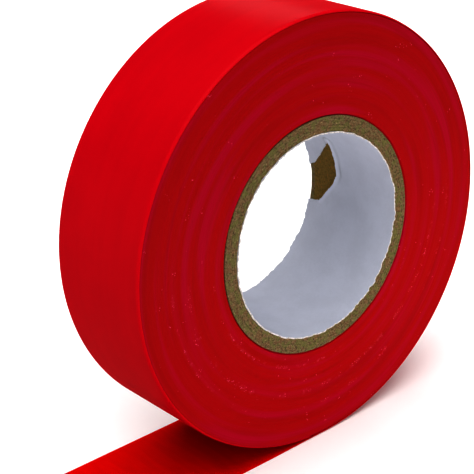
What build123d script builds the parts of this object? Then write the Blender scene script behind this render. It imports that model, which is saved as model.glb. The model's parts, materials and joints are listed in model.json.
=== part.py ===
"""Roll of electrical tape standing on its edge, with a free tail drawn off at the bottom.

Millimetres. The origin is the centre of the bore, +Y runs along the bore towards the back side,
+Z is up, and the tail leaves the bottom of the roll towards -X.
The roll is built from the bore outwards: paper liner, board plies, wound tape, outer turn.
"""
from build123d import *
import math
import os

# Core
bore_diameter = 32.0         # clear hole for a spindle
liner_thickness = 0.2        # white paper that lines the bore
ply_count = 5                # board plies glued one over another
ply_thickness = 0.46

# Tape
tape_width = 19.0
tape_thickness = 0.13        # film and adhesive together
adhesive_thickness = 0.03    # the adhesive's share of it
wound_turns = 117            # turns bonded to each other under the outer turn
tail_length = 80.0           # from the tangent line to the cut end

# Fit of the outer turn, which stays still while the roll turns in it
running_gap = 0.03           # between the wound tape and the outer turn's nearest point
lap_angle = 5.0              # the outer turn stops this far short of the tangent line, in degrees

# Tear in the liner, at the back rim
tear_angle = -4.6            # the middle of its mouth, in degrees from +X towards +Z
tear_width = 5.9             # its mouth, along the rim
tear_depth = 6.4             # from the rim into the bore
tear_lean = 7.1              # how far its tip reaches up past the mouth
tear_step = 1.3              # depth at which its upper edge turns towards the tip

# Worked out from the sizes above
bore_radius = bore_diameter / 2
board_radius = bore_radius + liner_thickness
core_radius = board_radius + ply_count * ply_thickness
wound_radius = core_radius + wound_turns * tape_thickness
outer_radius = wound_radius + running_gap + 2 * tape_thickness
half_width = tape_width / 2


def ring(inner_radius, outer_radius):
    """A ring of the tape's width, centred on the bore's axis."""
    profile = Circle(outer_radius) - Circle(inner_radius)
    return extrude(Plane.XZ * profile, half_width, both=True)


def tear_cutter():
    """A prism with the tear's outline, pointing out of the bore through the liner's wall."""
    middle = math.radians(tear_angle)
    outward = Vector(math.cos(middle), 0, math.sin(middle))
    at_rim = Plane(outward * (bore_radius / 2) + Vector(0, half_width, 0), x_dir=(0, -1, 0), z_dir=outward)
    past_rim = -1.0
    half = tear_width / 2
    # The first number is the depth from the rim, the second runs down along the rim
    outline = Polyline(
        (past_rim, -half),
        (past_rim, half),
        (tear_depth * 0.4, half * 0.8),
        (tear_depth * 0.9, -half * 0.6),
        (tear_depth, -half * 1.1),
        (tear_depth * 1.03, -half - tear_lean * 0.45),
        (tear_depth * 1.03, -half - tear_lean),
        (tear_step, -half - tear_lean * 0.15),
        close=True,
    )
    return extrude(at_rim * make_face(outline), bore_radius)


def core_liner():
    """The paper that lines the bore, torn at the back rim."""
    return ring(bore_radius, board_radius) - tear_cutter()


def core_ply(number):
    """One board ply. The first one carries the liner."""
    inner_radius = board_radius + (number - 1) * ply_thickness
    return ring(inner_radius, inner_radius + ply_thickness)


def spiral(start_radius, last_angle):
    """Arcs that run once round from the bottom, and come in by one tape thickness.

    Each quarter turn is an arc, a quarter of a thickness tighter than the one before it, and its
    centre steps towards the joint between them, so the arcs meet smoothly.
    """
    step = tape_thickness / 4
    centre = Vector(0, 0)
    arcs = []
    for quarter in range(4):
        first_angle = 90 * quarter - 90
        sweep = min(90, last_angle - first_angle)
        arcs.append(CenterArc(centre, start_radius - step * quarter, first_angle, sweep))
        meeting = math.radians(first_angle + 90)
        centre += Vector(math.cos(meeting), math.sin(meeting)) * step
    return arcs


def outer_turn():
    """The outermost turn, from the tangent line at the bottom once round the wound tape."""
    last_angle = 270 - lap_angle
    outside = spiral(outer_radius, last_angle)
    inside = spiral(outer_radius - tape_thickness, last_angle)
    start_edge = Line(outside[0] @ 0, inside[0] @ 0)
    end_edge = Line(outside[-1] @ 1, inside[-1] @ 1)
    section = make_face([*outside, *inside, start_edge, end_edge])
    return extrude(Plane.XZ * section, half_width, both=True)


def tail_layer(bottom, thickness):
    """One flat layer of the free tail, from the tangent line to the cut end."""
    layer = Box(tail_length, tape_width, thickness, align=(Align.MAX, Align.CENTER, Align.MIN))
    return Pos(0, 0, bottom) * layer


parts = {"core_liner": core_liner()}
for number in range(1, ply_count + 1):
    parts[f"core_ply_{number}"] = core_ply(number)
parts["wound_tape"] = ring(core_radius, wound_radius)
parts["outer_turn"] = outer_turn()
backing_thickness = tape_thickness - adhesive_thickness
parts["tail_backing"] = tail_layer(-outer_radius, backing_thickness)
parts["tail_adhesive"] = tail_layer(-outer_radius + backing_thickness, adhesive_thickness)

os.makedirs("parts", exist_ok=True)
for node, shape in parts.items():
    export_step(shape, f"parts/{node}.step")
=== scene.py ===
"""A roll of electrical tape with its free tail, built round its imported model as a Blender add-on."""
import json
import math

import bmesh
import bpy
import numpy as np
from bpy.props import FloatProperty, FloatVectorProperty, PointerProperty
from mathutils import Matrix, Vector


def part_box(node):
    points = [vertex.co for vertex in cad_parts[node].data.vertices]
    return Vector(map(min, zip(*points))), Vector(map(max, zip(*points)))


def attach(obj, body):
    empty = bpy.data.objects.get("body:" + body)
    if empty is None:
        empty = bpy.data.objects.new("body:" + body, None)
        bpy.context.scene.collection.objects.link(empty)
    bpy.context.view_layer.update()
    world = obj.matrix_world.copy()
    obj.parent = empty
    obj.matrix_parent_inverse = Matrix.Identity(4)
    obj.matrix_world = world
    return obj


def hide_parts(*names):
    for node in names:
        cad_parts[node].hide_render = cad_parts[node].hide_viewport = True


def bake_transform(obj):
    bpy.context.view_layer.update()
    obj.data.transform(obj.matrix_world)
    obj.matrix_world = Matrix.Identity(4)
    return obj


bl_info = {
    "name": "Electrical Tape Roll",
    "version": (1, 0, 0),
    "blender": (4, 5, 0),
    "location": "3D View > Sidebar > Tape Roll",
    "description": "Builds a roll of electrical tape, its core and its studio",
    "category": "Object",
}

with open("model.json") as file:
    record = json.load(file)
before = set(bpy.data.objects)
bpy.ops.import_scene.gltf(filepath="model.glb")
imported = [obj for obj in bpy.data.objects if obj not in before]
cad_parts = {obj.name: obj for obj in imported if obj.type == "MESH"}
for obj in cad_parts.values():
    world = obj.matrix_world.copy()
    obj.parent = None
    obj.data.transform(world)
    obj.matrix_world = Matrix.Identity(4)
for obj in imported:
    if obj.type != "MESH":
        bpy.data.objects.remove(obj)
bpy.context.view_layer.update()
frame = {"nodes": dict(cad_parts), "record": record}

MM = 0.001
FULL_TURN = 2 * math.pi


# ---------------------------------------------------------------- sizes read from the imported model

def bore_radius():
    """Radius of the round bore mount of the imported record, in metres."""
    mount = next(m for m in frame["record"]["mounts"] if m["name"] == "bore")
    return mount["dims"]["r_mm"] * MM


PLY_NODES = sorted(name for name in frame["nodes"] if name.startswith("core_ply_"))
HALF_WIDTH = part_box("wound_tape")[1][1]
WOUND_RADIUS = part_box("wound_tape")[1][0]
CORE_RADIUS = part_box(PLY_NODES[-1])[1][0]
BOARD_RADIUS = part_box("core_liner")[1][0]
BORE_RADIUS = bore_radius()
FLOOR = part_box("tail_backing")[0][2]
OUTER_RADIUS = -FLOOR
TAIL_END = -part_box("tail_backing")[0][0]
BACKING_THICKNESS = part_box("tail_backing")[1][2] - FLOOR
TAPE_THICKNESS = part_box("tail_adhesive")[1][2] - FLOOR
TURNS = round((WOUND_RADIUS - CORE_RADIUS) / TAPE_THICKNESS)


# ---------------------------------------------------------------- what a user would change

def length(name, millimetres, description):
    """A length property, stated in millimetres."""
    return FloatProperty(
        name=name, description=description, default=millimetres * MM, unit="LENGTH", precision=5)


def angle(name, degrees, description):
    """An angle property, stated in degrees."""
    return FloatProperty(
        name=name, description=description, default=math.radians(degrees), subtype="ANGLE")


def number(name, value, description, unit="NONE"):
    """A plain number, or one with Blender's unit of that name."""
    return FloatProperty(name=name, description=description, default=value, unit=unit)


def colour(name, rgb, description):
    """A colour property."""
    return FloatVectorProperty(
        name=name, description=description, default=rgb, size=3, subtype="COLOR", min=0.0, max=1.0)


class TapeSizes(bpy.types.PropertyGroup):
    """Sizes of the tape's small shapes."""
    edge_curl: length("Edge curl", 0.60, "How far in from its edges the outer turn bends down")
    curl_radius: length("Curl radius", 1.05, "Radius of that bend")
    edge_round: length("Edge rounding", 0.045, "Radius of the film's slit edges")
    turn_step: length("Turn step", 0.014, "How unevenly the turns' edges stand on the sides")
    wave_height: length("Wave height", 0.017, "Height of the ring waves on the sides")
    wave_pitch: length("Wave pitch", 2.0, "Distance from one ring wave to the next")
    side_swell: length("Side swell", 0.030, "Height of the slow unevenness of the sides")
    core_gap: length("Core gap", 0.35, "How far the innermost turns sink in beside the core")
    lap_angle: angle("Lap angle", 5.0, "How far the outer turn stops short of the tangent line")
    flat_start: length("Curl fades over", 12.0, "Length of tail over which the edge curl dies away")
    tail_lift: length("Tail lift", 1.6, "How far the tail's cut end lifts off the surface")
    lift_start: length("Lift starts at", 48.0, "Distance from the roll at which the tail starts to lift")


class CoreSizes(bpy.types.PropertyGroup):
    """Sizes of the core's small shapes."""
    fibre_height: length("Board roughness", 0.07, "Height of the rough board at the core's ends")
    ply_groove: length("Ply groove", 0.07, "Depth of the joints between the plies at the core's ends")
    rim_oval: length("Rim ovalness", 0.06, "How far the bore's rims are pressed out of round")
    rim_wobble: length("Rim wobble", 0.16, "Height of the uneven waves on the bore's rims")
    rim_depth: length("Rim depth", 1.8, "How far into the bore the rims are out of round")
    paper_fray: length("Paper fray", 0.24, "Raggedness of the liner's edges")
    tear_angle: angle("Tear angle", -4.6, "Place of the tear's opening on the back rim")
    tear_width: length("Tear width", 5.9, "Width of the tear's opening on the back rim")
    tear_depth: length("Tear depth", 6.4, "How far the tear runs into the bore")
    tear_lean: length("Tear lean", 7.1, "How far the tear runs on up the bore past its opening")
    tear_step: length("Tear step", 1.3, "Depth at which the tear turns up the bore")
    lip_width: length("Lip width", 0.80, "Width of the paper that stands up beside the tear")
    lip_height: length("Lip height", 0.20, "How far that paper stands up")


class Colours(bpy.types.PropertyGroup):
    """Base colours of the finishes."""
    film: colour("Film", (0.500, 0.001, 0.012), "Outside of the tape")
    side: colour("Wound side", (0.350, 0.001, 0.004), "Edges of the wound turns")
    side_dark: colour("Wound side, dark rings", (0.290, 0.001, 0.002), "Rings wound tight")
    side_cool: colour("Wound side, cool rings", (0.360, 0.001, 0.027), "Rings wound loose")
    dust: colour("Dust", (0.800, 0.110, 0.230), "Specks on the wound sides")
    adhesive: colour("Adhesive", (0.600, 0.001, 0.001), "Adhesive side of the tail")
    board: colour("Board", (0.225, 0.170, 0.092), "Core board")
    board_dark: colour("Board, dark", (0.080, 0.056, 0.028), "Dark fibres of the core board")
    torn_board: colour("Torn board", (0.235, 0.160, 0.048), "Board laid bare by the tear")
    paper: colour("Paper", (0.495, 0.510, 0.575), "Liner of the bore")
    paper_edge: colour("Paper edge", (0.680, 0.630, 0.610), "Cut edges of the liner")
    floor: colour("Floor", (0.880, 0.880, 0.880), "Studio floor")
    sky: colour("Sky", (0.800, 0.900, 1.000), "Sky above the pale band")
    horizon: colour("Horizon", (1.000, 1.000, 1.000), "Pale band behind the floor's far edge")


class Studio(bpy.types.PropertyGroup):
    """Light and camera."""
    overhead: number("Overhead", 3.8, "Strength of the overhead light")
    front: number("Front", 1.33, "Strength of the front light")
    kicker: number("Kicker", 0.42, "Strength of the low light behind")
    sky_strength: number("Sky", 0.06, "Brightness of the sky above the pale band")
    low_fill: number("Low fill", 0.015, "Power of the low front panel", "POWER")
    band_height: angle("Band height", 9.5, "How high the pale band at the horizon reaches")
    overhead_spread: angle("Overhead spread", 75.0, "Apparent width of the overhead light")
    front_spread: angle("Front spread", 48.0, "Apparent width of the front light")
    kicker_spread: angle("Kicker spread", 14.0, "Apparent width of the light behind")
    contrast: number("Contrast", 0.65, "Gamma of the picture, lower for more")
    lens: number("Lens", 110.0, "Focal length", "CAMERA")
    distance: length("Distance", 217.8, "From the camera to what it looks at")
    azimuth: angle("Azimuth", -39.66, "Camera's angle round the roll, from the front")
    elevation: angle("Elevation", 24.06, "Camera's angle above the floor")
    tilt: angle("Tilt", -2.57, "Camera's roll about its own axis")


def settings(kind):
    """The settings group of that kind, from the scene."""
    return getattr(bpy.context.scene, "tape_roll_" + kind)


# ---------------------------------------------------------------- meshes

def smoothstep(values, low, high):
    """0 at low, 1 at high, and a smooth curve between them."""
    share = np.clip((values - low) / (high - low), 0, 1)
    return share * share * (3 - 2 * share)


def soft_noise(random, rows, columns, row_cells, column_cells):
    """Smooth random heights from -1 to 1 on a grid whose columns close on themselves."""
    lattice = random.uniform(-1, 1, (row_cells + 2, column_cells))
    row = np.linspace(0, row_cells, rows)[:, None]
    column = (np.arange(columns) * column_cells / columns)[None]
    r0, c0 = row.astype(int), column.astype(int)
    fr, fc = smoothstep(row - r0, 0, 1), smoothstep(column - c0, 0, 1)
    c1 = (c0 + 1) % column_cells
    near = lattice[r0, c0] * (1 - fc) + lattice[r0, c1] * fc
    far = lattice[r0 + 1, c0] * (1 - fc) + lattice[r0 + 1, c1] * fc
    return near * (1 - fr) + far * fr


def grid_faces(rows, columns, close_rows, close_columns):
    """Quads that join a grid's points."""
    index = np.arange(rows * columns).reshape(rows, columns)
    down, across = np.roll(index, -1, 0), np.roll(index, -1, 1)
    both = np.roll(down, -1, 1)
    quads = np.stack([index, down, both, across], -1)
    quads = quads[:rows if close_rows else rows - 1, :columns if close_columns else columns - 1]
    return [tuple(quad) for quad in quads.reshape(-1, 4).tolist()]


def mesh_object(name, points, faces, *materials, sharp=40):
    """A smooth-shaded object with outward faces, in which the edges past that angle stay sharp."""
    mesh = bpy.data.meshes.new(name)
    mesh.from_pydata(points.reshape(-1, 3).tolist(), [], faces)
    shell = bmesh.new()
    shell.from_mesh(mesh)
    bmesh.ops.recalc_face_normals(shell, faces=shell.faces)
    shell.to_mesh(mesh)
    shell.free()
    finish_shading(mesh, sharp)
    for material in materials:
        mesh.materials.append(material)
    piece = bpy.data.objects.new(name, mesh)
    bpy.context.scene.collection.objects.link(piece)
    return piece


def finish_shading(mesh, sharp):
    """Smooth shading, with the edges past that angle in degrees kept sharp."""
    mesh.shade_smooth()
    mesh.set_sharp_from_angle(angle=math.radians(sharp))


def turn_angles(columns):
    """Evenly spaced angles round the roll."""
    return np.arange(columns) * FULL_TURN / columns


def ring_points(radius, along):
    """Points round the bore's axis, from grids of radius and place along it, one column per angle."""
    angles = turn_angles(radius.shape[1])
    return np.stack([radius * np.cos(angles), along, radius * np.sin(angles)], -1)


def ring_object(name, radius, along, *materials, sharp=40):
    """A closed ring, whose rows go once round its section."""
    faces = grid_faces(*radius.shape, close_rows=True, close_columns=True)
    return mesh_object(name, ring_points(radius, along), faces, *materials, sharp=sharp)


def column_of(values, columns):
    """A column of values, repeated for each angle."""
    return np.repeat(np.asarray(values, float)[:, None], columns, 1)


# ---------------------------------------------------------------- materials

class Nodes:
    """The nodes of a material or of the sky, with short ways to add to them."""

    def __init__(self, owner, shader):
        owner.use_nodes = True
        self.tree = owner.node_tree
        self.shader = self.tree.nodes[shader]

    def node(self, kind, inputs, **attributes):
        """A node with these attributes. Inputs are values or links, by their socket's name or number."""
        node = self.tree.nodes.new(kind)
        for key, value in attributes.items():
            setattr(node, key, value)
        for place, value in inputs.items():
            self.feed(node.inputs[place], value)
        return node

    def feed(self, socket, value):
        """Links a socket, or sets its value."""
        if isinstance(value, bpy.types.NodeSocket):
            self.tree.links.new(value, socket)
        else:
            socket.default_value = value

    def use(self, **sockets):
        """Feeds the shader's sockets, whose names have spaces for underscores."""
        for name, value in sockets.items():
            self.feed(self.shader.inputs[name.replace("_", " ")], value)

    def point(self):
        """The place on the object, in metres."""
        return self.node("ShaderNodeTexCoord", {}).outputs["Object"]

    def math(self, operation, first, second=0.0, third=0.0):
        """One step of arithmetic."""
        inputs = {0: first, 1: second, 2: third}
        return self.node("ShaderNodeMath", inputs, operation=operation).outputs[0]

    def polar(self):
        """Distance from the bore's axis, cosine and sine of the angle round it, and place along it."""
        parts = self.node("ShaderNodeSeparateXYZ", {0: self.point()}).outputs
        x, along, z = parts[0], parts[1], parts[2]
        radius = self.math("SQRT", self.math("MULTIPLY_ADD", x, x, self.math("MULTIPLY", z, z)))
        return radius, self.math("DIVIDE", x, radius), self.math("DIVIDE", z, radius), along

    def vector(self, first, second, third, scales):
        """A vector from three links, each scaled."""
        pairs = zip((first, second, third), scales)
        parts = [self.math("MULTIPLY", part, scale) for part, scale in pairs]
        return self.node("ShaderNodeCombineXYZ", dict(enumerate(parts))).outputs[0]

    def noise(self, vector, scale=1.0, detail=2.0, roughness=0.5):
        """Noise from 0 to 1, with that many cells to a unit of the vector."""
        inputs = {"Vector": vector, "Scale": scale, "Detail": detail, "Roughness": roughness}
        return self.node("ShaderNodeTexNoise", inputs).outputs["Fac"]

    def levels(self, value, low, high, most=1.0):
        """Stretches low to high over 0 to most with soft ends, and clips it."""
        inputs = {0: value, 1: low, 2: high, 3: 0.0, 4: most}
        return self.node("ShaderNodeMapRange", inputs, interpolation_type="SMOOTHSTEP").outputs[0]

    def mix(self, share, first, second):
        """A colour between two colours."""
        ends = [c if isinstance(c, bpy.types.NodeSocket) else (*c, 1.0) for c in (first, second)]
        inputs = {0: share, 6: ends[0], 7: ends[1]}
        return self.node("ShaderNodeMix", inputs, data_type="RGBA").outputs[2]

    def bump(self, height, distance, under=None):
        """A bump of that height in metres, on top of another one."""
        inputs = {"Height": height, "Distance": distance}
        if under is not None:
            inputs["Normal"] = under
        return self.node("ShaderNodeBump", inputs).outputs[0]


class Finish(Nodes):
    """A material and its shader."""

    def __init__(self, name, **sockets):
        self.material = bpy.data.materials.new(name)
        super().__init__(self.material, "Principled BSDF")
        self.use(**sockets)

    def finished(self, **sockets):
        """Feeds the last sockets, and gives the material."""
        self.use(**sockets)
        return self.material


def shaded(rgb, factor):
    """A colour made darker or paler."""
    return tuple(min(1.0, c * factor) for c in rgb)


def tinted(rgb, factors):
    """A colour with a factor for each of red, green and blue."""
    return tuple(c * k for c, k in zip(rgb, factors))


def film_finish():
    """Satin PVC film: faint lines along the tape, slow clouds, a slight orange peel, and a painted
    highlight that makes its edges paler.
    """
    colours = settings("colours")
    finish = Finish(
        "pvc_film", Roughness=0.42, Specular_IOR_Level=0.0, Specular_Tint=(1.0, 0.15, 0.2, 1.0),
        Coat_Weight=0.06, Coat_Roughness=0.30)
    highlight_from, highlight_full_from = HALF_WIDTH - 0.7 * MM, HALF_WIDTH - 0.2 * MM
    _, cosine, sine, along = finish.polar()
    lines = finish.noise(finish.vector(along, cosine, sine, (5000, 6, 6)))
    streaks = finish.noise(finish.vector(along, cosine, sine, (700, 1.5, 1.5)), detail=3)
    peel = finish.noise(finish.point(), scale=2600, detail=1)
    cloud = finish.noise(finish.point(), scale=90, detail=3)
    shade = finish.levels(finish.math("MULTIPLY_ADD", streaks, 0.5, cloud), 0.5, 1.0)
    tone = finish.mix(shade, shaded(colours.film, 0.93), colours.film)
    # Painted highlight: the film is made paler near its slit edges, where the rounded rim catches the
    # light.
    edge = finish.levels(finish.math("ABSOLUTE", along), highlight_from, highlight_full_from)
    tone = finish.mix(edge, tone, shaded(colours.film, 1.04))
    bump = finish.bump(peel, 0.0016 * MM, finish.bump(lines, 0.003 * MM))
    return finish.finished(Base_Color=tone, Normal=bump)


def side_dust(finish, radius, sine):
    """How much dust lies at each place of the wound sides: low down in rings, and here and there."""
    # Each ring's place from the core (0) to the outside (1), and how far it reaches from there
    ring_places = ((0.63, 0.50 * MM), (0.44, 0.60 * MM), (0.14, 0.40 * MM))
    cells = finish.node("ShaderNodeTexVoronoi", {"Vector": finish.point(), "Scale": 2600.0})
    dots = finish.levels(cells.outputs["Distance"], 0.34, 0.12)
    patchy = finish.levels(finish.noise(finish.point(), scale=330), 0.48, 0.62)
    rings = 0.0
    for share, reach in ring_places:
        middle = CORE_RADIUS + share * (WOUND_RADIUS - CORE_RADIUS)
        away = finish.math("ABSOLUTE", finish.math("SUBTRACT", radius, middle))
        rings = finish.math("MAXIMUM", rings, finish.levels(away, reach, 0.0))
    lower = finish.levels(sine, 0.25, -0.35)
    in_rings = finish.math("MULTIPLY", finish.math("MULTIPLY", rings, lower), patchy)
    stray = finish.levels(finish.noise(finish.point(), scale=800, detail=0), 0.75, 0.82, 0.8)
    smudge = finish.levels(finish.noise(finish.point(), scale=1300, detail=1), 0.42, 0.75, 0.20)
    spots = finish.math("MULTIPLY", dots, finish.math("MAXIMUM", in_rings, stray))
    return finish.math("MAXIMUM", finish.math("MULTIPLY", in_rings, smudge), spots)


def side_finish():
    """Slit edges of the wound turns: rings of tight and loose winding, fine lines and specks of dust."""
    colours = settings("colours")
    finish = Finish(
        "wound_side", Roughness=0.5, Specular_IOR_Level=0.03, Specular_Tint=(1.0, 0.1, 0.15, 1.0),
        Coat_Weight=0.04, Coat_Roughness=0.5)
    lines_per_metre = 0.7 / TAPE_THICKNESS
    radius, cosine, sine, _ = finish.polar()
    tight = finish.noise(finish.vector(radius, cosine, sine, (560, 0.8, 0.8)), roughness=0.6)
    loose = finish.noise(finish.vector(radius, sine, cosine, (640, 0.9, 0.9)), detail=1)
    lines = finish.noise(finish.vector(radius, cosine, sine, (lines_per_metre, 1.2, 1.2)), detail=1)
    tone = finish.mix(finish.levels(loose, 0.44, 0.70), colours.side, colours.side_cool)
    tone = finish.mix(finish.levels(tight, 0.50, 0.70, 0.6), tone, colours.side_dark)
    tone = finish.mix(finish.levels(lines, 0.3, 0.7, 0.25), tone, colours.side_dark)
    dust = finish.math("MULTIPLY", side_dust(finish, radius, sine), 0.7)
    tone = finish.mix(dust, tone, colours.dust)
    return finish.finished(Base_Color=tone, Normal=finish.bump(lines, 0.010 * MM))


def adhesive_finish():
    """Adhesive on the tail, with faint pull marks across it."""
    colours = settings("colours")
    finish = Finish(
        "adhesive", Roughness=0.45, Specular_IOR_Level=0.0, Specular_Tint=(1.0, 0.12, 0.12, 1.0),
        Coat_Weight=0.02, Coat_Roughness=0.4)
    parts = finish.node("ShaderNodeSeparateXYZ", {0: finish.point()}).outputs
    marks = finish.noise(finish.vector(*parts, (900, 120, 0.0)), detail=3)
    grain = finish.noise(finish.point(), scale=3200, detail=2)
    share = finish.levels(marks, 0.3, 0.7)
    tone = finish.mix(share, shaded(colours.adhesive, 0.92), colours.adhesive)
    bump = finish.bump(grain, 0.003 * MM, finish.bump(marks, 0.004 * MM))
    return finish.finished(Base_Color=tone, Normal=bump)


def fibre_share(finish):
    """Two noises for board: fibres that run round the core mixed with flecks, and the flecks alone."""
    radius, cosine, sine, along = finish.polar()
    across = finish.math("MULTIPLY_ADD", along, 0.7, radius)
    fibres = finish.noise(finish.vector(across, cosine, sine, (6500, 60, 60)), detail=3, roughness=0.65)
    flecks = finish.noise(finish.point(), scale=3300, detail=2, roughness=0.7)
    share = finish.math("MULTIPLY_ADD", fibres, 0.5, finish.math("MULTIPLY", flecks, 0.5))
    return share, flecks


def board_finish():
    """Grey-brown core board, mottled with green and red, with pale flecks."""
    colours = settings("colours")
    finish = Finish("core_board", Roughness=0.95, Specular_IOR_Level=0.1)
    share, flecks = fibre_share(finish)
    blotch = finish.noise(finish.point(), scale=1200, detail=2)
    green, red = tinted(colours.board, (0.78, 1.00, 0.66)), tinted(colours.board, (1.15, 0.82, 0.82))
    tone = finish.mix(finish.levels(share, 0.38, 0.58), colours.board_dark, colours.board)
    tone = finish.mix(finish.levels(blotch, 0.48, 0.62, 0.6), tone, green)
    tone = finish.mix(finish.levels(blotch, 0.50, 0.38, 0.35), tone, red)
    tone = finish.mix(finish.levels(flecks, 0.62, 0.74, 0.7), tone, shaded(colours.board, 1.9))
    return finish.finished(Base_Color=tone, Normal=finish.bump(share, 0.09 * MM))


def torn_board_finish():
    """Board laid bare where the liner is torn off: dark and fuzzy, with red flecks."""
    colours = settings("colours")
    finish = Finish("torn_board", Roughness=1.0, Specular_IOR_Level=0.05)
    share, flecks = fibre_share(finish)
    dark, red = shaded(colours.torn_board, 0.6), tinted(colours.torn_board, (1.5, 0.8, 0.7))
    tone = finish.mix(finish.levels(share, 0.35, 0.65), dark, colours.torn_board)
    tone = finish.mix(finish.levels(flecks, 0.55, 0.70, 0.7), tone, red)
    return finish.finished(Base_Color=tone, Normal=finish.bump(share, 0.12 * MM))


def paper_finish():
    """White liner paper with a faint fibre texture, a painted highlight where its lip lifts and a painted
    shadow where it is creased beside the lip.
    """
    colours = settings("colours")
    finish = Finish("liner_paper", Roughness=0.85, Specular_IOR_Level=0.15)
    fibres = finish.noise(finish.point(), scale=2200, detail=4, roughness=0.6)
    cloud = finish.noise(finish.point(), scale=260, detail=2)
    share = finish.levels(finish.math("MULTIPLY_ADD", fibres, 0.5, cloud), 0.5, 1.0)
    bump = finish.bump(fibres, 0.012 * MM, finish.bump(cloud, 0.010 * MM))
    tone = finish.mix(share, shaded(colours.paper, 0.93), colours.paper)
    lip = finish.node("ShaderNodeAttribute", {}, attribute_name="lip").outputs["Fac"]
    crease_shadow = finish.node("ShaderNodeAttribute", {}, attribute_name="crease_shadow").outputs["Fac"]
    # Painted highlight on the lifted lip and painted shadow where it is creased: lit and shaded copies of
    # the paper.
    tone = finish.mix(finish.math("MULTIPLY", lip, 0.35), tone, shaded(colours.paper, 1.35))
    tone = finish.mix(finish.math("MULTIPLY", crease_shadow, 0.45), tone, shaded(colours.paper, 0.45))
    return finish.finished(Base_Color=tone, Normal=bump)


def paper_edge_finish():
    """Cut edge of the liner paper: raw and warmer."""
    colours = settings("colours")
    finish = Finish("liner_paper_edge", Roughness=0.95, Specular_IOR_Level=0.1)
    fuzz = finish.noise(finish.point(), scale=3000, detail=3, roughness=0.7)
    share = finish.levels(fuzz, 0.4, 0.6)
    tone = finish.mix(share, shaded(colours.paper_edge, 0.6), colours.paper_edge)
    return finish.finished(Base_Color=tone, Normal=finish.bump(fuzz, 0.05 * MM))


# ---------------------------------------------------------------- the tape

def edge_drop(across):
    """How far the tape bends down towards the core at a place across it."""
    sizes = settings("tape")
    past = np.maximum(0, np.abs(across) - (HALF_WIDTH - sizes.edge_curl))
    return past ** 2 / (2 * sizes.curl_radius)


def side_heights(random, radius, columns):
    """How far the turns' edges stand out from the side, at each radius and angle."""
    sizes = settings("tape")
    rows = len(radius)
    most_drift = 1.2
    drift = soft_noise(random, 1, columns, 1, 3) * most_drift
    phase = FULL_TURN * radius[:, None] / sizes.wave_pitch + drift
    strength = 0.5 + 0.5 * soft_noise(random, rows, columns, 7, 4)
    waves = np.sin(phase) * strength * sizes.wave_height
    steps = random.uniform(-0.5, 0.5, rows)[:, None] * sizes.turn_step
    swell = soft_noise(random, rows, columns, 12, 5) * sizes.side_swell / 2
    fade = smoothstep(radius.max() - radius, 0, sizes.wave_pitch / 2)
    sink = 1 - smoothstep(radius - radius.min(), 0.5 * TAPE_THICKNESS, 2 * TAPE_THICKNESS)
    return (waves + steps + swell) * fade[:, None] - sink[:, None] * sizes.core_gap


def wound_tape():
    """The bonded turns, with a line on each side for every turn."""
    sizes = settings("tape")
    random = np.random.default_rng(11)
    columns, curl_rows, tread_rows = 240, 5, 7
    outermost = WOUND_RADIUS - edge_drop(HALF_WIDTH)
    radius = CORE_RADIUS + np.arange(TURNS + 1) * TAPE_THICKNESS
    radius = np.append(radius[radius < outermost - TAPE_THICKNESS / 2], outermost)
    front = -HALF_WIDTH - side_heights(random, radius, columns)
    back = HALF_WIDTH + side_heights(random, radius, columns)
    curl = np.linspace(0, sizes.edge_curl, curl_rows + 1)[1:]
    middle = np.linspace(-0.9, 0.9, tread_rows) * HALF_WIDTH
    tread = np.concatenate([-HALF_WIDTH + curl, middle, HALF_WIDTH - curl[::-1]])
    radii = np.concatenate([radius, WOUND_RADIUS - edge_drop(tread), radius[::-1]])
    along = np.concatenate([front, column_of(tread, columns), back[::-1]])
    piece = ring_object("wound_turns", column_of(radii, columns), along, side_finish())
    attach(piece, "roll")
    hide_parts("wound_tape")


def strip_path():
    """Places on the strip's outside, outward directions, and distances past the tangent line."""
    sizes = settings("tape")
    round_rows, flat_rows = 300, 90
    lap = FULL_TURN * 3 / 4 - sizes.lap_angle
    angles = np.linspace(lap, -FULL_TURN / 4, round_rows)
    radius = OUTER_RADIUS - TAPE_THICKNESS * (angles / FULL_TURN + 0.25)
    outward = np.stack([np.cos(angles), np.zeros_like(angles), np.sin(angles)], -1)
    distance = np.linspace(0, TAIL_END, flat_rows)[1:]
    flat = np.stack([-distance, np.zeros_like(distance), np.full_like(distance, FLOOR)], -1)
    places = np.concatenate([outward * radius[:, None], flat])
    outward = np.concatenate([outward, np.tile([0.0, 0.0, -1.0], (len(distance), 1))])
    return places, outward, np.concatenate([np.zeros_like(angles), distance])


def slit_section(top, bottom, rounding):
    """Across and depth of a layer's section, once round it, with its outer corners rounded."""
    sizes = settings("tape")
    corner_points, curl_points, flat_points = 4, 6, 10
    corner = np.radians(np.linspace(90, 0, corner_points))
    curled = np.linspace(sizes.edge_curl, rounding, curl_points, endpoint=False)
    right = np.concatenate([
        HALF_WIDTH - curled, HALF_WIDTH - rounding * (1 - np.cos(corner)), [HALF_WIDTH],
        HALF_WIDTH - curled[::-1]])
    right_depth = np.concatenate([
        np.full_like(curled, top), top + rounding * (1 - np.sin(corner)), [bottom],
        np.full_like(curled, bottom)])
    flat = np.linspace(-1, 1, flat_points + 2)[1:-1] * (HALF_WIDTH - sizes.edge_curl)
    across = np.concatenate([flat, right, flat[::-1], -right[::-1]])
    depth = np.concatenate([
        np.full_like(flat, top), right_depth, np.full_like(flat, bottom), right_depth[::-1]])
    return across, depth


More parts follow.
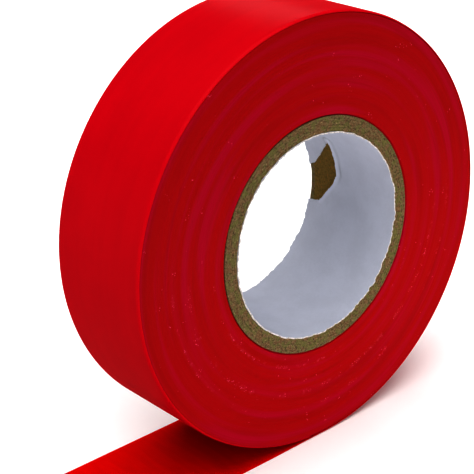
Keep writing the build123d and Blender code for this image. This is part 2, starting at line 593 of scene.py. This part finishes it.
def strip_layer(name, top, bottom, rounding, material):
    """One layer of the strip, from the lap to the cut end, between two depths under its outside."""
    sizes = settings("tape")
    places, outward, distance = strip_path()
    across, depth = slit_section(top, bottom, rounding)
    curl = 1 - smoothstep(distance, 0, sizes.flat_start)
    inward = depth + edge_drop(across) * curl[:, None]
    points = places[:, None] - outward[:, None] * inward[..., None]
    points[..., 1] += across
    lift = np.clip((distance - sizes.lift_start) / (TAIL_END - sizes.lift_start), 0, 1)
    points[..., 2] += sizes.tail_lift * lift[:, None] ** 2
    rows, around = points.shape[:2]
    faces = grid_faces(rows, around, close_rows=False, close_columns=True)
    faces += [tuple(range(around)), tuple(range((rows - 1) * around, rows * around))[::-1]]
    return mesh_object(name, points, faces, material, sharp=60)


def bend_onto_tail(piece):
    """Bakes the strip's placement into its mesh.
    """
    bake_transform(piece)


def tape_strip():
    """The outer turn and the tail: one strip of film with its adhesive."""
    sizes = settings("tape")
    film = strip_layer("tape_strip", 0.0, BACKING_THICKNESS, sizes.edge_round, film_finish())
    coat = strip_layer("adhesive_coat", BACKING_THICKNESS, TAPE_THICKNESS, 0.0, adhesive_finish())
    for piece in (film, coat):
        bend_onto_tail(piece)
    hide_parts("outer_turn", "tail_backing")
    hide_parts("tail_adhesive")


# ---------------------------------------------------------------- the core

def rim_shift(along, columns):
    """How far the bore's wall stands out at a place along it, where its rims are out of round."""
    sizes = settings("core")
    angles = turn_angles(columns)
    random = np.random.default_rng(23)
    # For the front and the back rim: distance from it, where it is widest, and its share of the shift
    rims = ((along + HALF_WIDTH, math.radians(155), 1.0), (HALF_WIDTH - along, math.radians(40), 0.3))
    shift = 0.0
    for from_rim, widest, share in rims:
        oval = np.cos(2 * (angles - widest))
        waves = 0.55 * soft_noise(random, 1, columns, 1, 13) + 0.3 * soft_noise(random, 1, columns, 1, 41)
        fine = 0.35 * soft_noise(random, 1, columns, 1, 120)
        near = share * (1 - smoothstep(from_rim, 0, sizes.rim_depth))
        shift = shift + near * (sizes.rim_oval * oval + sizes.rim_wobble * (waves + fine))
    return shift


def rough_end(random, rows, columns):
    """Uneven heights of a ply's end, most of them below it."""
    sunk = 0.6
    coarse = soft_noise(random, rows, columns, 2, 60)
    fine = soft_noise(random, rows, columns, 4, 230)
    return (0.5 * coarse + 0.5 * fine - sunk) * settings("core").fibre_height


def core_ply(node, inner, seed, board, bare):
    """One board ply, rough at its ends, with a groove at each joint.

    The first one has the bore's uneven rims, and bare board on the side that the liner covers.
    """
    sizes = settings("core")
    random = np.random.default_rng(seed)
    columns, rows, wall_rows = 480, 5, 24
    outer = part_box(node)[1][0]
    radius = np.linspace(inner, outer, rows)
    groove = sizes.ply_groove * np.abs(np.linspace(-1, 1, rows))[:, None] ** 3
    front = -HALF_WIDTH + groove - rough_end(random, rows, columns)
    back = HALF_WIDTH - groove + rough_end(random, rows, columns)
    wall = np.linspace(-1, 1, wall_rows + 2)[1:-1] * (HALF_WIDTH - 2 * sizes.ply_groove)
    radii = np.concatenate([radius, np.full_like(wall, outer), radius[::-1], np.full_like(wall, inner)])
    wall = column_of(wall, columns)
    along = np.concatenate([front, wall, back[::-1], wall[::-1]])
    radii = column_of(radii, columns)
    under_liner = inner == BOARD_RADIUS
    if under_liner:
        radii = radii + (outer - radii) / (outer - inner) * rim_shift(along, columns)
    piece = ring_object(node.replace("core_ply", "board_ply"), radii, along, board, bare)
    if under_liner:
        first_bore_point = (2 * rows + wall_rows) * columns
        for face in piece.data.polygons:
            face.material_index = int(min(face.vertices) >= first_bore_point)
    return piece


def core_plies():
    """The board plies of the core."""
    board, bare = board_finish(), torn_board_finish()
    first_seed = 100
    inner = BOARD_RADIUS
    for place, node in enumerate(PLY_NODES):
        piece = core_ply(node, inner, first_seed + place, board, bare)
        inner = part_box(node)[1][0]
        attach(piece, "roll")
        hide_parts(node)


def tear_outline():
    """Corners of the tear: depth from the back rim, and distance down round the bore from its middle."""
    sizes = settings("core")
    half, depth, lean = sizes.tear_width / 2, sizes.tear_depth, sizes.tear_lean
    past_rim = -1.0 * MM
    return np.array([
        (past_rim, -half),
        (past_rim, half),
        (depth * 0.4, half * 0.8),
        (depth * 0.9, -half * 0.6),
        (depth, -half * 1.1),
        (depth * 1.03, -half - lean * 0.45),
        (depth * 1.03, -half - lean),
        (sizes.tear_step, -half - lean * 0.15),
    ])


def along_outline(corners, spacing):
    """Evenly spaced points along a closed outline."""
    points = []
    for start, end in zip(corners, np.roll(corners, -1, 0)):
        count = max(1, int(np.linalg.norm(end - start) / spacing))
        points += [start + (end - start) * k / count for k in range(count)]
    return np.array(points)


def tear_distance(along, angles):
    """Distance of points of the liner from the tear's front edge, the one farthest into the bore."""
    sizes = settings("core")
    past = (angles - sizes.tear_angle + math.pi) % FULL_TURN - math.pi
    depth, below = HALF_WIDTH - along, -past * BOARD_RADIUS + 0 * along
    front_edge = tear_outline()[2:7]
    nearest = np.full(along.shape, np.inf)
    for start, end in zip(front_edge[:-1], front_edge[1:]):
        run = end - start
        share = ((depth - start[0]) * run[0] + (below - start[1]) * run[1]) / (run @ run)
        share = np.clip(share, 0, 1)
        gap = np.hypot(depth - start[0] - share * run[0], below - start[1] - share * run[1])
        nearest = np.minimum(nearest, gap)
    return nearest


def tear_cutter():
    """A ragged block through the liner, to cut the tear with."""
    sizes = settings("core")
    spacing, raggedness, clearance = 0.22 * MM, 0.09 * MM, 2 * MM
    random = np.random.default_rng(5)
    outline = along_outline(tear_outline(), spacing)
    outline = outline + random.uniform(-1, 1, outline.shape) * raggedness
    angles = sizes.tear_angle - outline[:, 1] / BOARD_RADIUS
    layers = [
        np.stack([radius * np.cos(angles), HALF_WIDTH - outline[:, 0], radius * np.sin(angles)], -1)
        for radius in (BORE_RADIUS - clearance, BOARD_RADIUS + clearance)]
    count = len(outline)
    faces = grid_faces(2, count, close_rows=False, close_columns=True)
    faces += [tuple(range(count)), tuple(range(count, 2 * count))[::-1]]
    return mesh_object("tear_cutter", np.array(layers), faces)


def cut_away(piece, cutter):
    """Cuts one object out of another, and removes the cutter."""
    modifier = piece.modifiers.new("cut", "BOOLEAN")
    modifier.operation = "DIFFERENCE"
    modifier.solver = "EXACT"
    modifier.object = cutter
    graph = bpy.context.evaluated_depsgraph_get()
    mesh = bpy.data.meshes.new_from_object(piece.evaluated_get(graph), depsgraph=graph)
    piece.modifiers.clear()
    piece.data = mesh
    bpy.data.objects.remove(cutter)


def mark_lip_highlight_and_crease_shadow(mesh):
    """Stores a share that follows how far the paper has lifted, for a painted highlight, and where it is
    creased, for a painted shadow in its finish.

    The crease runs beside the lip, above the tear's middle.
    """
    sizes = settings("core")
    crease_from, crease_full_from = 1.0 * MM, 4.0 * MM
    points = np.empty(3 * len(mesh.vertices))
    mesh.vertices.foreach_get("co", points)
    x, y, z = points.reshape(-1, 3).T
    angles = np.arctan2(z, x)
    share = tear_distance(y, angles) / sizes.lip_width
    # Share of the painted highlight on the lip, and below it the share of the painted shadow where the
    # paper is creased.
    lip = 1 - smoothstep(share, 0.3, 1.0)
    above = (angles - sizes.tear_angle) * BOARD_RADIUS
    upper = smoothstep(above, crease_from, crease_full_from)
    crease_shadow = upper * smoothstep(share, 0.8, 1.05) * (1 - smoothstep(share, 1.1, 1.4))
    for name, values in (("lip", lip), ("crease_shadow", crease_shadow)):
        mesh.attributes.new(name, "FLOAT", "POINT").data.foreach_set("value", values.astype(np.float32))


def core_liner():
    """The white paper in the bore, torn at the back rim."""
    sizes = settings("core")
    random = np.random.default_rng(7)
    columns, rows = 720, 66
    fray_depth, lip_unevenness, end_slope = 0.6 * MM, 0.3, 0.8
    wall = column_of(np.linspace(-HALF_WIDTH, HALF_WIDTH, rows), columns)
    fray = 0.5 * soft_noise(random, 2, columns, 1, 110) + 0.5 * soft_noise(random, 2, columns, 1, 290)
    ends = 1 - smoothstep(HALF_WIDTH - np.abs(wall), 0, fray_depth)
    wall = wall + ends * np.where(wall < 0, fray[0], fray[1]) * sizes.paper_fray
    lip = np.clip(1 - tear_distance(wall, turn_angles(columns)) / sizes.lip_width, 0, 1)
    lift = sizes.lip_height * lip * (1 + lip_unevenness * soft_noise(random, 1, columns, 1, 90))
    shift = rim_shift(wall, columns) - lift
    radii = np.concatenate([BOARD_RADIUS + shift, (BORE_RADIUS + shift)[::-1]])
    along = np.concatenate([wall, wall[::-1]])
    piece = ring_object("liner_paper", radii, along, paper_finish(), paper_edge_finish())
    cut_away(piece, tear_cutter())
    mark_lip_highlight_and_crease_shadow(piece.data)
    for face in piece.data.polygons:
        face.material_index = int(abs(face.normal.y) > end_slope)
    finish_shading(piece.data, 40)
    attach(piece, "roll")
    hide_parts("core_liner")


# ---------------------------------------------------------------- the studio

def studio_floor():
    """A wide pale floor, just under the roll."""
    colours = settings("colours")
    half_side, count, gap = 3.0, 9, 0.02 * MM
    finish = Finish("studio_floor", Roughness=0.9, Specular_IOR_Level=0.1)
    grain = finish.noise(finish.point(), scale=60)
    tone = finish.mix(grain, shaded(colours.floor, 0.995), colours.floor)
    side = np.linspace(-half_side, half_side, count)
    level = np.full((count, count), FLOOR - gap)
    points = np.stack([*np.meshgrid(side, side, indexing="ij"), level], -1)
    faces = grid_faces(count, count, close_rows=False, close_columns=False)
    mesh_object("studio_floor", points, faces, finish.finished(Base_Color=tone))


def soft_light(name, strength, spread, towards, rgb):
    """A distant soft light that stands in that direction."""
    light = bpy.data.lights.new(name, "SUN")
    light.energy = strength
    light.angle = spread
    light.color = rgb
    lamp = bpy.data.objects.new(name, light)
    lamp.rotation_euler = Vector(towards).to_track_quat("Z", "Y").to_euler()
    bpy.context.scene.collection.objects.link(lamp)


def low_panel(power, place, aim):
    """A small soft panel near the floor, itself out of the picture."""
    light = bpy.data.lights.new("low_fill", "AREA")
    light.energy = power
    light.shape = "RECTANGLE"
    light.size = 80 * MM
    light.size_y = 20 * MM
    lamp = bpy.data.objects.new("low_fill", light)
    lamp.location = place
    lamp.rotation_euler = (place - aim).to_track_quat("Z", "Y").to_euler()
    lamp.visible_camera = False
    bpy.context.scene.collection.objects.link(lamp)


def studio_backdrop():
    """A dim sky with a pale band round the horizon, behind the floor's far edge."""
    studio, colours = settings("studio"), settings("colours")
    fade = 1.6
    world = bpy.data.worlds.new("studio_sky")
    sky = Nodes(world, "Background")
    direction = sky.node("ShaderNodeTexCoord", {}).outputs["Generated"]
    height = sky.node("ShaderNodeSeparateXYZ", {0: direction}).outputs[2]
    above = sky.levels(height, math.sin(studio.band_height), math.sin(fade * studio.band_height))
    sky.use(Color=sky.mix(above, colours.horizon, shaded(colours.sky, studio.sky_strength)))
    bpy.context.scene.world = world


def studio_light():
    """Soft lights overhead and in front, a low one behind, and a panel in front near the floor."""
    studio = settings("studio")
    warm, rosy = (1.0, 0.985, 0.97), (1.0, 0.97, 1.0)
    above, front_left, low_behind = (-0.05, 0.05, 1.0), (-0.52, -0.92, 1.1), (0.60, 0.72, 0.34)
    panel_place, panel_aim = Vector((14, -60, -27)) * MM, Vector((8, -10, -20)) * MM
    soft_light("overhead", studio.overhead, studio.overhead_spread, above, warm)
    soft_light("front", studio.front, studio.front_spread, front_left, warm)
    soft_light("kicker", studio.kicker, studio.kicker_spread, low_behind, rosy)
    low_panel(studio.low_fill, panel_place, panel_aim)
    view = bpy.context.scene.view_settings
    view.view_transform = "Standard"
    view.gamma = studio.contrast


def studio_camera():
    """A long lens, in front of the roll, to the left of it and above it."""
    studio = settings("studio")
    target = Vector((-8.14, 0, -0.40)) * MM
    azimuth, elevation = studio.azimuth, studio.elevation
    level_back = Vector((math.sin(azimuth), -math.cos(azimuth), 0))
    back = level_back * math.cos(elevation) + Vector((0, 0, math.sin(elevation)))
    right = Vector((math.cos(azimuth), math.sin(azimuth), 0))
    up = back.cross(right)
    turned_right = right * math.cos(studio.tilt) + up * math.sin(studio.tilt)
    turned_up = up * math.cos(studio.tilt) - right * math.sin(studio.tilt)
    data = bpy.data.cameras.new("camera")
    data.lens = studio.lens
    data.sensor_width = 36.0
    data.clip_start = 10 * MM
    camera = bpy.data.objects.new("camera", data)
    turn = Matrix((turned_right, turned_up, back)).transposed().to_4x4()
    camera.matrix_world = Matrix.Translation(target + back * studio.distance) @ turn
    bpy.context.scene.collection.objects.link(camera)
    bpy.context.scene.camera = camera


# ---------------------------------------------------------------- the add-on

class TAPEROLL_OT_stage(bpy.types.Operator):
    """Set up the camera, the backdrop, the lights and the floor"""
    bl_idname = "tape_roll.stage"
    bl_label = "Studio"

    def execute(self, context):
        studio_camera()
        studio_backdrop()
        studio_light()
        studio_floor()
        return {"FINISHED"}


class TAPEROLL_OT_wound_tape(bpy.types.Operator):
    """Build the bonded turns of tape"""
    bl_idname = "tape_roll.wound_tape"
    bl_label = "Wound Tape"

    def execute(self, context):
        wound_tape()
        return {"FINISHED"}


class TAPEROLL_OT_strip(bpy.types.Operator):
    """Build the outer turn and the tail, with their adhesive"""
    bl_idname = "tape_roll.strip"
    bl_label = "Outer Turn and Tail"

    def execute(self, context):
        tape_strip()
        return {"FINISHED"}


class TAPEROLL_OT_plies(bpy.types.Operator):
    """Build the board plies of the core"""
    bl_idname = "tape_roll.plies"
    bl_label = "Core Plies"

    def execute(self, context):
        core_plies()
        return {"FINISHED"}


class TAPEROLL_OT_liner(bpy.types.Operator):
    """Build the torn paper liner of the bore"""
    bl_idname = "tape_roll.liner"
    bl_label = "Core Liner"

    def execute(self, context):
        core_liner()
        return {"FINISHED"}


OPERATORS = (
    TAPEROLL_OT_stage,
    TAPEROLL_OT_wound_tape,
    TAPEROLL_OT_strip,
    TAPEROLL_OT_plies,
    TAPEROLL_OT_liner,
)
GROUPS = {"tape": TapeSizes, "core": CoreSizes, "colours": Colours, "studio": Studio}


class TAPEROLL_PT_panel(bpy.types.Panel):
    """Lists the roll's pieces and their settings"""
    bl_idname = "TAPEROLL_PT_panel"
    bl_label = "Electrical Tape Roll"
    bl_space_type = "VIEW_3D"
    bl_region_type = "UI"
    bl_category = "Tape Roll"

    def draw(self, context):
        for operator in OPERATORS:
            self.layout.operator(operator.bl_idname)
        for name, group in GROUPS.items():
            box = self.layout.box()
            box.label(text=name.title())
            for prop in group.__annotations__:
                box.prop(settings(name), prop)


def register():
    for kind in (*GROUPS.values(), *OPERATORS, TAPEROLL_PT_panel):
        bpy.utils.register_class(kind)
    for name, group in GROUPS.items():
        setattr(bpy.types.Scene, "tape_roll_" + name, PointerProperty(type=group))


def unregister():
    for name in GROUPS:
        delattr(bpy.types.Scene, "tape_roll_" + name)
    for kind in (TAPEROLL_PT_panel, *OPERATORS, *GROUPS.values()):
        bpy.utils.unregister_class(kind)


def main():
    register()
    bpy.ops.tape_roll.stage()
    bpy.ops.tape_roll.wound_tape()
    bpy.ops.tape_roll.strip()
    bpy.ops.tape_roll.plies()
    bpy.ops.tape_roll.liner()


if __name__ == "__main__":
    main()
